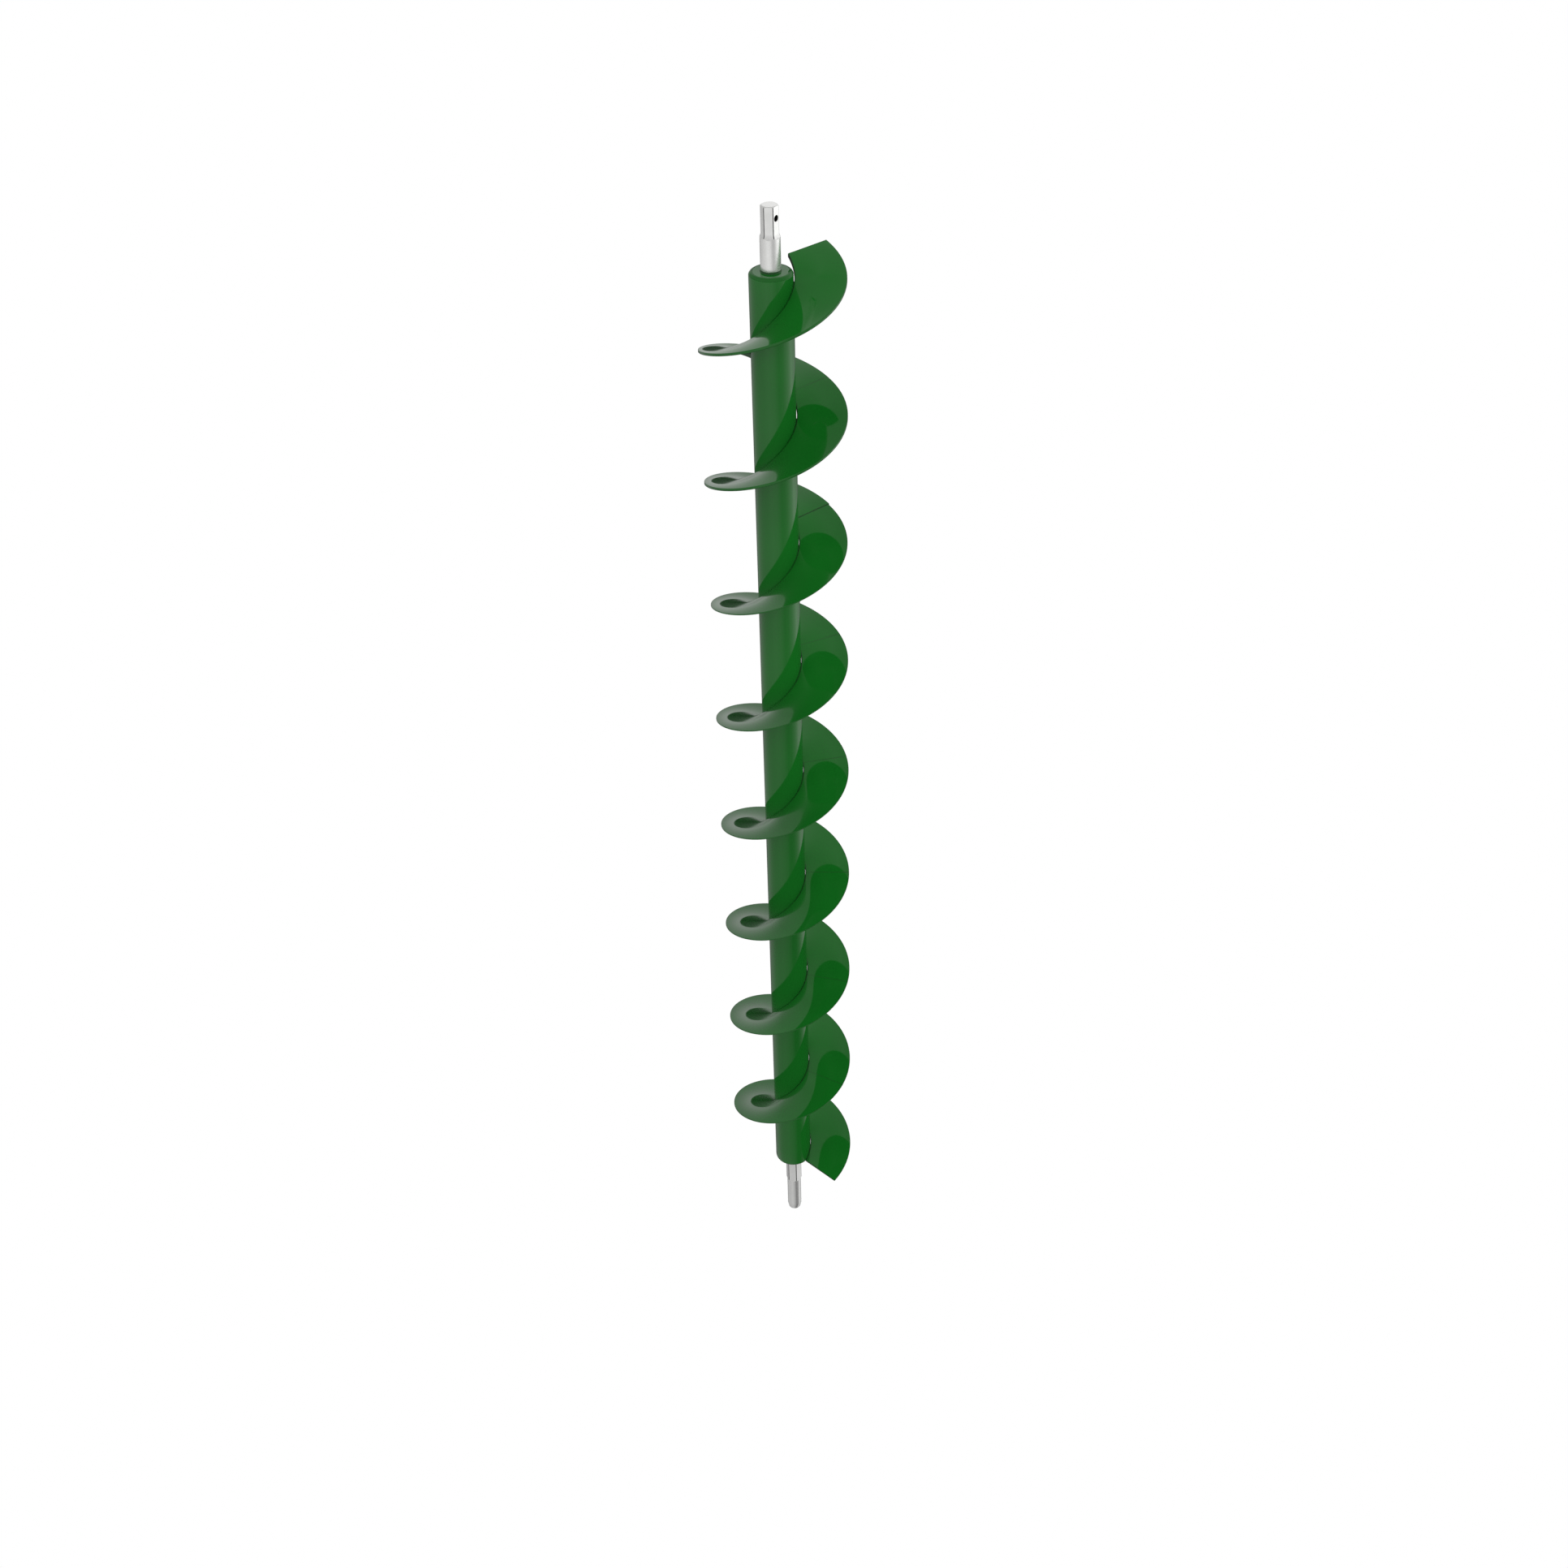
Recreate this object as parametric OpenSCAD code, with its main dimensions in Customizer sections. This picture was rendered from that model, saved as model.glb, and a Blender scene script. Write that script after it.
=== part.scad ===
// Conveying auger rotor: a painted tube with a right-hand flight, carried on two steel stub shafts.
// Frame: millimetres, +Z up along the rotor's axis, drive end up.
// Origin: on the axis, at the tip of the idler shaft.

/* [Centre tube] */
// Outside diameter of the centre tube
tube_od = 48.3; // [46:0.1:52]
// Wall of the centre tube
tube_wall = 3.7; // [3:0.1:4.5]
// Length of the centre tube
tube_len = 1306; // [1300:1:1310]
// How far each end plug stands out of the tube
plug_out = 3; // [2:0.1:5]
// Thickness of an end plug
plug_len = 18; // [12:1:30]
// Thickness of an inner disc
disc_len = 10; // [6:1:14]

/* [Flights] */
// Rise of the flights in one turn
pitch = 160; // [158:0.5:162]
// Angle of the radial cut at the idler end, counted from +X
start_angle = -45.6; // [-60:0.1:-30]
// Angle that one main flight section sweeps
main_sweep = 374.5; // [365:0.5:376]
// Angle that one heavy section at the drive end sweeps
drive_sweep = 360; // [350:1:365]
// Outside diameter of the main flights
main_od = 160; // [130:1:180]
// Outside diameter of the heavy flights
drive_od = 162; // [132:1:184]
// Plate of the main flights
main_plate = 1.5; // [1.2:0.1:3]
// Plate of the heavy flights
drive_plate = 3.2; // [2.5:0.1:5]
// Radial gap between the tube and the inner edge of the main flights
main_gap = 0.4; // [0.4:0.1:2.5]
// Radial gap between the tube and the inner edge of the heavy flights
drive_gap = 0.8; // [0.6:0.1:2.5]

/* [Drive shaft] */
// Diameter of the round journal
drive_journal_d = 22.2; // [20:0.1:25.4]
// Length from the plug's face to the end of the round journal
drive_round_len = 37; // [25:0.1:50]
// Length of the hexagon with its cutter run-outs
drive_hex_len = 35.8; // [30:0.1:50]
// Width across the flats of the drive hexagon
drive_hex_af = 17.5; // [16:0.1:17.6]
// Direction of the flat with the cross hole, counted from +X
drive_hex_angle = -37.4; // [-60:0.1:0]
// Diameter of the cross hole
cross_hole_d = 6.4; // [4:0.1:8]
// Distance from the cross hole's axis to the shaft's end
cross_hole_inset = 13.5; // [10:0.5:18]
// Radius of the milling cutter that leaves the run-outs
cutter_r = 9; // [6:0.5:12]

/* [Idler shaft] */
// Diameter of the idler journal
idler_journal_d = 18.9; // [16:0.1:19]
// Length of the idler journal with its tapered nose, up to the shoulder
idler_journal_len = 56; // [40:0.5:70]
// Length of the nose taper
nose_len = 7; // [4:0.5:12]
// Radial depth of the nose taper
nose_depth = 1.4; // [0.8:0.1:3]
// Width across the flats of the idler hexagon
idler_hex_af = 19.05; // [19.05:0.05:20]
// Direction of one idler flat, counted from +X
idler_hex_angle = -42; // [-60:1:0]
// Length of the hexagon outside the tube, with its shoulder
idler_hex_len = 46.3; // [40:0.1:70]
// Length of the turned shoulder between journal and hexagon
shoulder_len = 9.5; // [3:0.5:14]

/* [Stub shafts and welds] */
// How deep each stub shaft goes in, from its plug's face
grip_len = 110; // [70:1:150]
// Height of the fillet weld round each shaft
shaft_weld = 2; // [2:0.1:4.5]
// Leg of the stitch welds at the root of the flights
root_weld = 3; // [2:0.1:4]
// Angle that one stitch weld covers
stitch_sweep = 32; // [20:1:50]
// Width of the butt welds between flight sections
butt_weld = 4; // [3:0.1:6]
// Height of the butt welds on the lower face
butt_crown = 0.8; // [0.4:0.1:1.5]

/* [Hidden] */
$fn = 96;
main_sections = 6;
drive_sections = 2;

paint_green = [0.10, 0.36, 0.12];
bright_steel = [0.78, 0.78, 0.77];
dull_steel = [0.45, 0.45, 0.45];

// Heights along the axis
idler_face_z = idler_journal_len + idler_hex_len;
tube_z = idler_face_z + plug_out;
tube_top_z = tube_z + tube_len;
drive_face_z = tube_top_z + plug_out;
drive_round_z = drive_face_z + drive_round_len;
drive_end_z = drive_round_z + drive_hex_len;
idler_root_z = idler_face_z + grip_len;
drive_root_z = drive_face_z - grip_len;

tube_r = tube_od / 2;
bore_r = tube_r - tube_wall;
main_root_r = tube_r + main_gap;
drive_root_r = tube_r + drive_gap;
seat_step = 1.1;              // the drive shaft's seat is this much smaller in radius than its journal
hex_weld_top = 0.9;           // how far the weld on the hexagon reaches past its flats
seat_r = drive_journal_d / 2 - seat_step;
disc_setback = 5;             // an inner disc stops this far short of the shaft's inner end
end_chamfer_r = 8;            // radius of the flat end of the drive shaft
end_chamfer_angle = 30;
cut_depth = drive_journal_d / 2 - drive_hex_af / 2;
runout_len = sqrt(pow(cutter_r, 2) - pow(cutter_r - cut_depth, 2));
flight_step = 3;              // degrees between the rings of a flight
stitch_step = 4;
stitches_per_turn = 3;
stitch_lead = 22;             // angle from the radial cut to the middle of the first stitch
first_stitch = start_angle + stitch_lead;
tube_turns = tube_len / pitch;
stitch_count = floor((360 * tube_turns - stitch_lead - stitch_sweep / 2) * stitches_per_turn / 360) + 1;
drive_start = start_angle + main_sections * main_sweep;

// Height of the middle of the plate at an angle
function ramp(a) = tube_z + pitch * (a - start_angle) / 360;
// Thickness of the plate along the axis, at a radius
function axial(r, plate) = plate * sqrt(1 + pow(pitch / (2 * PI * r), 2));
// Degrees that a length along the flight takes up, at a radius
function along(r, length) = length / sqrt(r * r + pow(pitch / (2 * PI), 2)) * 180 / PI;
// Point at radius r and angle a, lifted by dz from the middle of the plate
function on_ramp(r, a, dz) = [r * cos(a), r * sin(a), ramp(a) + dz];

// Solid skin over equal rings of points, closed at both ends
module skin(rings) {
    n = len(rings[0]);
    last = (len(rings) - 1) * n;
    points = [for (ring = rings) each ring];
    sides = [for (i = [0:len(rings) - 2], j = [0:n - 1])
        let (a = i * n + j, b = i * n + (j + 1) % n)
        each [[a, b, b + n], [a, b + n, a + n]]];
    near_end = [for (j = [n - 1:-1:0]) j];
    far_end = [for (j = [0:n - 1]) last + j];
    polyhedron(points = points, faces = concat(sides, [near_end], [far_end]));
}

// Helical plate from angle a0 to a1
module flight(a0, a1, root_r, od, plate) {
    steps = ceil((a1 - a0) / flight_step);
    inner = axial(root_r, plate) / 2;
    outer = axial(od / 2, plate) / 2;
    skin([for (i = [0:steps])
        let (a = a0 + (a1 - a0) * i / steps)
        [on_ramp(root_r, a, -inner), on_ramp(od / 2, a, -outer),
         on_ramp(od / 2, a, outer), on_ramp(root_r, a, inner)]]);
}

// Stitch weld under the plate that also fills the gap to the tube
module stitch(middle, root_r, plate) {
    half = axial(root_r, plate) / 2;
    a0 = middle - stitch_sweep / 2;
    steps = stitch_sweep / stitch_step;
    skin([for (i = [0:steps])
        let (a = a0 + stitch_sweep * i / steps,
             grow = sqrt(1 - pow(2 * i / steps - 1, 4) * 0.75))
        [on_ramp(tube_r, a, -half - root_weld * grow),
         on_ramp(root_r + root_weld * grow, a, -half),
         on_ramp(root_r, a, -half), on_ramp(root_r, a, half * 0.4),
         on_ramp(tube_r, a, half * 0.4)]]);
}

// Butt weld bead across the lower face, along a radial line
module butt_bead(a, root_r, od) {
    crown = [[-1, 0], [-0.6, 0.75], [0, 1], [0.6, 0.75], [1, 0]];
    radii = [for (i = [0:6]) root_r + (od / 2 - root_r) * i / 6];
    skin([for (r = radii)
        [for (p = crown)
            on_ramp(r, a + along(r, p[0] * butt_weld / 2),
                    -axial(r, main_plate) / 2 - p[1] * butt_crown)]]);
}

module hexagon(af, angle, length) {
    rotate([0, 0, angle + 30]) cylinder(d = af / cos(30), h = length, $fn = 6);
}

// Ring weld that fills the step between an end plug and the tube's end
module ring_weld() {
    bulge = 0.5;
    middle = [(tube_r + bore_r) / 2 + bulge, plug_out / 2 + bulge];
    rotate_extrude() polygon([[bore_r, 0], [tube_r, 0], middle, [bore_r, plug_out]]);
}

// Fillet weld round a shaft of radius r, filled out to radius top at its upper edge
module fillet_ring(r, top) {
    leg = shaft_weld / 2;
    middle = [top + leg / 2, shaft_weld * 0.4];
    rotate_extrude() polygon([[r, 0], [top + leg, 0], middle, [top, shaft_weld], [r, shaft_weld]]);
}

module disc(length) {
    cylinder(r = bore_r, h = length);
}

// ---- Tube and plugs

module main_tube() {
    color(paint_green)
    translate([0, 0, tube_z]) difference() {
        cylinder(r = tube_r, h = tube_len);
        translate([0, 0, -1]) cylinder(r = bore_r, h = tube_len + 2);
    }
}

module drive_end_plug() {
    color(paint_green)
    translate([0, 0, drive_face_z - plug_len]) difference() {
        disc(plug_len);
        translate([0, 0, -1]) cylinder(r = seat_r, h = plug_len + 2);
    }
}

module drive_inner_disc() {
    color(dull_steel)
    translate([0, 0, drive_root_z + disc_setback]) difference() {
        disc(disc_len);
        translate([0, 0, -1]) cylinder(r = seat_r, h = disc_len + 2);
    }
}

module idler_end_plug() {
    color(paint_green)
    translate([0, 0, idler_face_z]) difference() {
        disc(plug_len);
        translate([0, 0, -1]) hexagon(idler_hex_af, idler_hex_angle, plug_len + 2);
    }
}

module idler_inner_disc() {
    color(dull_steel)
    translate([0, 0, idler_root_z - disc_setback - disc_len]) difference() {
        disc(disc_len);
        translate([0, 0, -1]) hexagon(idler_hex_af, idler_hex_angle, disc_len + 2);
    }
}

// ---- Stub shafts

// Round bar with a milled hexagon: each flat is cut by a cutter that leaves a curved run-out
module drive_shaft() {
    r = drive_journal_d / 2;
    journal_z = drive_face_z + shaft_weld;
    flat_z = drive_round_z + runout_len;
    chamfer = (r - end_chamfer_r) * tan(end_chamfer_angle);
    width = 2 * r + 2;
    color(bright_steel) difference() {
        rotate_extrude() polygon([
            [0, drive_root_z], [seat_r, drive_root_z], [seat_r, journal_z], [r, journal_z],
            [r, drive_end_z - chamfer], [end_chamfer_r, drive_end_z], [0, drive_end_z]]);
        for (i = [0:5]) rotate([0, 0, drive_hex_angle + 60 * i]) {
            translate([drive_hex_af / 2, -width / 2, flat_z]) cube([r, width, drive_end_z]);
            translate([drive_hex_af / 2 + cutter_r, width / 2, flat_z])
                rotate([90, 0, 0]) cylinder(r = cutter_r, h = width);
        }
        rotate([0, 0, drive_hex_angle]) translate([-width, 0, drive_end_z - cross_hole_inset])
            rotate([0, 90, 0]) cylinder(d = cross_hole_d, h = 2 * width);
    }
}

// Hexagonal bar turned down to a journal, with a rounded shoulder and a tapered nose
module idler_shaft() {
    r = idler_journal_d / 2;
    corner_r = idler_hex_af / 2 / cos(30) + 0.1;
    shoulder_steps = 6;
    shoulder = [for (i = [0:shoulder_steps])
        let (a = 90 * i / shoulder_steps)
        [r + (corner_r - r) * sin(a), idler_journal_len + shoulder_len * (1 - cos(a))]];
    color(bright_steel) intersection() {
        rotate_extrude() polygon(concat(
            [[0, 0], [r - nose_depth, 0], [r, nose_len]], shoulder,
            [[corner_r, idler_root_z], [0, idler_root_z]]));
        hexagon(idler_hex_af, idler_hex_angle, idler_root_z);
    }
}

// ---- Welds at the ends

module drive_plug_weld() {
    color(paint_green) translate([0, 0, tube_top_z]) ring_weld();
}

module idler_plug_weld() {
    color(paint_green) translate([0, 0, tube_z]) mirror([0, 0, 1]) ring_weld();
}

module drive_shaft_weld() {
    color(paint_green) translate([0, 0, drive_face_z]) fillet_ring(seat_r, seat_r + seat_step * 0.7);
}

// The welds on the hexagonal bar are rings with the bar's own shape cut out
module hex_fillet() {
    difference() {
        fillet_ring(idler_hex_af / 2 - 1, idler_hex_af / 2 + hex_weld_top);
        translate([0, 0, -1]) hexagon(idler_hex_af, idler_hex_angle, shaft_weld + 2);
    }
}

module idler_shaft_weld() {
    color(paint_green) translate([0, 0, idler_face_z]) mirror([0, 0, 1]) hex_fillet();
}

module drive_disc_weld() {
    color(dull_steel) translate([0, 0, drive_root_z + disc_setback + disc_len])
        fillet_ring(seat_r, seat_r + 0.1);
}

module idler_disc_weld() {
    color(dull_steel) translate([0, 0, idler_root_z - disc_setback - disc_len])
        mirror([0, 0, 1]) hex_fillet();
}

// ---- Flights, counted from the idler end

module main_flight(i) {
    a0 = start_angle + (i - 1) * main_sweep;
    color(paint_green) flight(a0, a0 + main_sweep, main_root_r, main_od, main_plate);
}

module drive_flight(i) {
    a0 = drive_start + (i - 1) * drive_sweep;
    color(paint_green) flight(a0, a0 + drive_sweep, drive_root_r, drive_od, drive_plate);
}

module flight_butt_welds() {
    color(paint_green) {
        for (i = [1:main_sections]) butt_bead(start_angle + i * main_sweep, main_root_r, main_od);
        for (i = [1:drive_sections - 1]) butt_bead(drive_start + i * drive_sweep, drive_root_r, drive_od);
    }
}

module flight_root_welds() {
    color(paint_green) for (i = [0:stitch_count - 1]) {
        a = first_stitch + i * 360 / stitches_per_turn;
        heavy = a > drive_start;
        stitch(a, heavy ? drive_root_r : main_root_r, heavy ? drive_plate : main_plate);
    }
}

main_tube();
drive_end_plug();
drive_inner_disc();
idler_end_plug();
idler_inner_disc();
drive_shaft();
idler_shaft();
drive_plug_weld();
idler_plug_weld();
drive_shaft_weld();
idler_shaft_weld();
drive_disc_weld();
idler_disc_weld();
for (i = [1:main_sections]) main_flight(i);
for (i = [1:drive_sections]) drive_flight(i);
flight_butt_welds();
flight_root_welds();
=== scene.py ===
import math
import bpy
import numpy as np
from mathutils import Matrix, Vector


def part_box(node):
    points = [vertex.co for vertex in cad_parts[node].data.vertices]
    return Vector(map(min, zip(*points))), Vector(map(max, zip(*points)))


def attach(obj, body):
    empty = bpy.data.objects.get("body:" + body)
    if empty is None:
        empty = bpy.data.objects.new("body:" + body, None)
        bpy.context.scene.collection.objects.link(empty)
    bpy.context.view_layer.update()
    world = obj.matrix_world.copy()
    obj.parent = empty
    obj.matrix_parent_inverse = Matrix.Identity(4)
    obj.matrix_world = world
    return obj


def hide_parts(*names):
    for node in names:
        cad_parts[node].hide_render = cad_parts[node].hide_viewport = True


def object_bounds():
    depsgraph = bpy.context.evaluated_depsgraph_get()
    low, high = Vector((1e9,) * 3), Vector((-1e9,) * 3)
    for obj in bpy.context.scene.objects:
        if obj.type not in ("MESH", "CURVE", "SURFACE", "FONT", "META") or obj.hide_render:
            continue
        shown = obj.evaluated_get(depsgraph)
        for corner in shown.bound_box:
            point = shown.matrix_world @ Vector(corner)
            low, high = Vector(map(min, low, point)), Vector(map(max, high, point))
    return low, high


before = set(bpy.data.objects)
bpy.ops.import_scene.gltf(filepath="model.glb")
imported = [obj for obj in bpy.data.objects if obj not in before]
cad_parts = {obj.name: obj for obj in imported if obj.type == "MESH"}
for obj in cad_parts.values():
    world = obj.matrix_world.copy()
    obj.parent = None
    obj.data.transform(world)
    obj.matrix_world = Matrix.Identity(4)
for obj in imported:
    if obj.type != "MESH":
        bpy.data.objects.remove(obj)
cadLow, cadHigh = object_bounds()
mm = 0.001

# Everything below is in metres, on the axis of the rotor: +Z up, angles counted from +X.
tubeLow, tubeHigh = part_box("main_tube")
drivePlugLow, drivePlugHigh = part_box("drive_end_plug")
idlerPlugLow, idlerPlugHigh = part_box("idler_end_plug")
driveLow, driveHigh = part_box("drive_shaft")
idlerLow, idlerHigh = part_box("idler_shaft")
tubeRadius = tubeHigh.x
boreRadius = drivePlugHigh.x


# Mesh helpers

def volumeInside(points, faces):
    # a sixth of the summed a . (b x c) over the faces' triangles; negative where they face inwards
    total = 0.0
    for corners in (points[f] for f in faces):
        for k in range(1, corners.shape[1] - 1):
            total += np.einsum("ij,ij->", corners[:, 0], np.cross(corners[:, k], corners[:, k + 1])) / 6
    return total


def makeMesh(name, points, faces, marks=None):
    # points: (n, 3) array; faces: list of index arrays, one per polygon size; marks: name -> value per point
    if volumeInside(points, faces) < 0:
        faces = [f[:, ::-1] for f in faces]
    mesh = bpy.data.meshes.new(name)
    loops = np.concatenate([f.ravel() for f in faces]).astype(np.int32)
    sizes = np.concatenate([np.full(len(f), f.shape[1]) for f in faces])
    starts = np.concatenate([[0], np.cumsum(sizes)[:-1]]).astype(np.int32)
    mesh.vertices.add(len(points))
    mesh.vertices.foreach_set("co", points.astype(np.float32).ravel())
    mesh.loops.add(len(loops))
    mesh.loops.foreach_set("vertex_index", loops)
    mesh.polygons.add(len(starts))
    mesh.polygons.foreach_set("loop_start", starts)
    mesh.update(calc_edges=True)
    mesh.validate()
    for key, values in (marks or {}).items():
        layer = mesh.attributes.new(key, "FLOAT", "POINT")
        layer.data.foreach_set("value", values.astype(np.float32).ravel())
    piece = bpy.data.objects.new(name, mesh)
    bpy.context.scene.collection.objects.link(piece)
    return piece


def skin(name, grid, ends="open", marks=None):
    # grid[i, j]: ring i along the piece, point j round it. Rings close on themselves.
    # ends: "open" leaves both ends, "fan" closes each with a fan, "loop" joins the last ring to the first.
    rows, cols = grid.shape[:2]
    points = grid.reshape(-1, 3)
    i = np.arange(rows if ends == "loop" else rows - 1)[:, None]
    j = np.arange(cols)[None, :]
    a, b = i * cols + j, i * cols + (j + 1) % cols
    c, d = (i + 1) % rows * cols + (j + 1) % cols, (i + 1) % rows * cols + j
    faces = [np.stack([a, b, c, d], -1).reshape(-1, 4)]
    marks = {key: values.reshape(-1) for key, values in (marks or {}).items()}
    if ends == "fan":
        middles = np.stack([grid[0].mean(0), grid[-1].mean(0)])
        ring = np.arange(cols)
        turn = (ring + 1) % cols
        first, last = len(points), len(points) + 1
        top = (rows - 1) * cols
        near = np.stack([turn, ring, np.full(cols, first)], -1)
        far = np.stack([ring + top, turn + top, np.full(cols, last)], -1)
        faces += [near, far]
        points = np.concatenate([points, middles])
        marks = {k: np.concatenate([v, v[:1], v[-1:]]) for k, v in marks.items()}
    return makeMesh(name, points, faces, marks)


def soften(piece, angle=32):
    # smooth shading with real edges kept
    piece.data.shade_smooth()
    piece.data.set_sharp_from_angle(angle=math.radians(angle))
    return piece


def polar(radius, angle, height):
    radius, angle, height = np.broadcast_arrays(radius, angle, height)
    return np.stack([radius * np.cos(angle), radius * np.sin(angle), height], -1)


def turned(name, outline, count=180, ends="loop", ripple=None):
    # Surface of revolution: each (radius, height) of the outline carried once round the axis.
    # ripple: (waves round the axis, depth, share per outline point) swells it as a welder's bead does.
    outline = np.array(outline)
    angle = np.linspace(0, 2 * math.pi, count, endpoint=False)
    radius = np.broadcast_to(outline[:, :1], (len(outline), count))
    if ripple:
        waves, depth, share = ripple
        radius = radius + depth * np.array(share)[:, None] * rippleOf(angle * waves)[None, :]
    return soften(skin(name, polar(radius, angle[None, :], outline[:, 1:]), ends))


def rippleOf(turn):
    # one scale per turn, steep on its leading side, of slowly changing strength
    return (np.sin(turn + 0.5 * np.sin(turn)) - 0.6) * (0.75 + 0.25 * np.sin(turn * 0.137 + 1))


def arc(centre, radius, start, stop, count=6):
    # points of a circular arc in the (radius, height) plane, angles in degrees
    a = np.radians(np.linspace(start, stop, count))
    return [(centre[0] + radius * math.cos(t), centre[1] + radius * math.sin(t)) for t in a]


def adopt(piece, nodes, material):
    # the piece stands for CAD nodes, rides with the rotor and takes its finish
    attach(piece, "root")
    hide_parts(*nodes)
    piece.data.materials.append(material)
    return piece


# Helpers for node materials

class Wire:
    # one number on its way between nodes; Python's operators on it add Math nodes
    def __init__(self, bench, socket):
        self.bench, self.socket = bench, socket

    def maths(self, operation, *others, clamp=False):
        inputs = dict(enumerate((self, *others)))
        node = self.bench.make("ShaderNodeMath", {"operation": operation, "use_clamp": clamp}, inputs)
        return Wire(self.bench, node.outputs[0])

    def __add__(self, other):
        return self.maths("ADD", other)

    def __mul__(self, other):
        return self.maths("MULTIPLY", other)

    def __rsub__(self, other):
        return (self * -1) + other

    def __truediv__(self, other):
        return self.maths("DIVIDE", other)

    __radd__, __rmul__ = __add__, __mul__

    def held(self):
        return self.maths("MULTIPLY", 1, clamp=True)

    def ramp(self, low, high):
        # 0 below low, 1 above high, smooth between
        node = self.bench.make(
            "ShaderNodeMapRange", {"interpolation_type": "SMOOTHSTEP"},
            {"Value": self, "From Min": low, "From Max": high})
        return Wire(self.bench, node.outputs["Result"])


class Bench:
    # a node tree being wired up
    def __init__(self, tree):
        self.tree = tree
        tree.nodes.clear()

    def make(self, kind, settings=None, inputs=None):
        node = self.tree.nodes.new(kind)
        for key, value in (settings or {}).items():
            if key == "stops":
                elements = node.color_ramp.elements
                while len(elements) < len(value):
                    elements.new(0.5)
                for element, (place, shade) in zip(elements, value):
                    element.position = place
                    element.color = (*shade, 1) if np.ndim(shade) else (shade, shade, shade, 1)
            else:
                setattr(node, key, value)
        for key, value in (inputs or {}).items():
            if isinstance(value, Wire):
                value = value.socket
            if isinstance(value, bpy.types.NodeSocket):
                self.tree.links.new(value, node.inputs[key])
            else:
                node.inputs[key].default_value = value
        return node

    def wire(self, node, output=0):
        return Wire(self, node.outputs[output])

    def noise(self, place, scale, detail=3, roughness=0.5):
        return self.wire(self.make(
            "ShaderNodeTexNoise", None,
            {"Vector": place, "Scale": scale, "Detail": detail, "Roughness": roughness}))

    def grooves(self, place, step, inputs):
        # ridges across the axis, one per step: a wave of scale 1 repeats every 0.314
        wave = self.make("ShaderNodeTexWave", {"bands_direction": "Z"},
                         {"Vector": place, "Scale": 0.314 / step, **inputs})
        return self.wire(wave, 1)

    def surface(self, inputs):
        shader = self.make("ShaderNodeBsdfPrincipled", None, inputs)
        self.make("ShaderNodeOutputMaterial", None, {"Surface": shader.outputs[0]})

    def bump(self, strength, distance, height):
        return self.make("ShaderNodeBump", None, {
            "Strength": strength, "Distance": distance, "Height": height}).outputs[0]

    def blend(self, factor, first, second):
        # inputs 6 and 7 are the two colours of a Mix node, output 2 is its colour
        first, second = ((*c, 1) if isinstance(c, tuple) else c for c in (first, second))
        inputs = {"Factor": factor, 6: first, 7: second}
        return self.make("ShaderNodeMix", {"data_type": "RGBA"}, inputs).outputs[2]

    def mark(self, name):
        return self.wire(self.make("ShaderNodeAttribute", {"attribute_name": name}), "Fac")

    def place(self):
        return self.make("ShaderNodeTexCoord").outputs["Object"]

    def stretched(self, place, scale):
        return self.make("ShaderNodeMapping", None, {"Vector": place, "Scale": scale}).outputs[0]


def newMaterial(name):
    material = bpy.data.materials.new(name)
    material.use_nodes = True
    return material, Bench(material.node_tree)


paintLook = {
    "green": (0.0045, 0.094, 0.0085),
    "shade": (0.0035, 0.080, 0.0070),    # where the coat is a little thicker
    "edge": (0.0026, 0.060, 0.0050),     # pulled thin and dark over the rims
    "creviceShadeAndSeam": (0.0010, 0.008, 0.0014),  # painted shade, near black, in the crevice where flight meets tube and at the shafts' feet; also the dark seam lines where flights butt
    "roughness": 0.035,
    "ior": 1.46,
    "peelSize": 420,                    # orange peel, waves per metre
    "peelDepth": 0.000008,
    "weldLumpsAndShade": 0.6,                   # how rough the coat is over a bead, and how far painted shade darkens it
    "footPaintedShade": 0.5,                    # painted shade at the feet of the shafts, where they meet the plugs
}


def greenPaint(name, lumpsAndShade=0.0, paintedShade=0.0):
    # sprayed enamel: two close greens in slow clouds, orange peel, darker on the "rim" mark; near-black
    # painted shade on the "root" mark and the shafts' feet, darker painted shade over welds
    material, bench = newMaterial(name)
    place = bench.place()
    clouds = bench.noise(place, 7, 2)
    flecks = bench.noise(place, 160, 2)
    peel = bench.noise(place, paintLook["peelSize"], 2)
    bead = bench.noise(place, 260, 3)
    rim, root = bench.mark("rim"), bench.mark("root")
    colour = bench.blend(clouds.ramp(0.3, 0.7), paintLook["green"], paintLook["shade"])
    # rims darker where the coat is pulled thin; over welds this darkening is painted shade
    colour = bench.blend((rim * 0.7 + lumpsAndShade).held(), colour, paintLook["edge"])
    # painted shade: near black along the flight root and at the shafts' feet, where shade falls; seams on the
    # root mark darken as joints
    colour = bench.blend((root + paintedShade).held(), colour, paintLook["creviceShadeAndSeam"])
    roughness = paintLook["roughness"] + (flecks * 0.03 + clouds * 0.02)
    roughness = roughness + rim * 0.08 + root * 0.5 + lumpsAndShade * 0.3
    bump = bench.bump(0.35, paintLook["peelDepth"] * (1 + 14 * lumpsAndShade), peel + bead * lumpsAndShade)
    bench.surface({
        "Base Color": colour, "Roughness": roughness, "IOR": paintLook["ior"] - 0.12 * lumpsAndShade, "Normal": bump})
    return material


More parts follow.
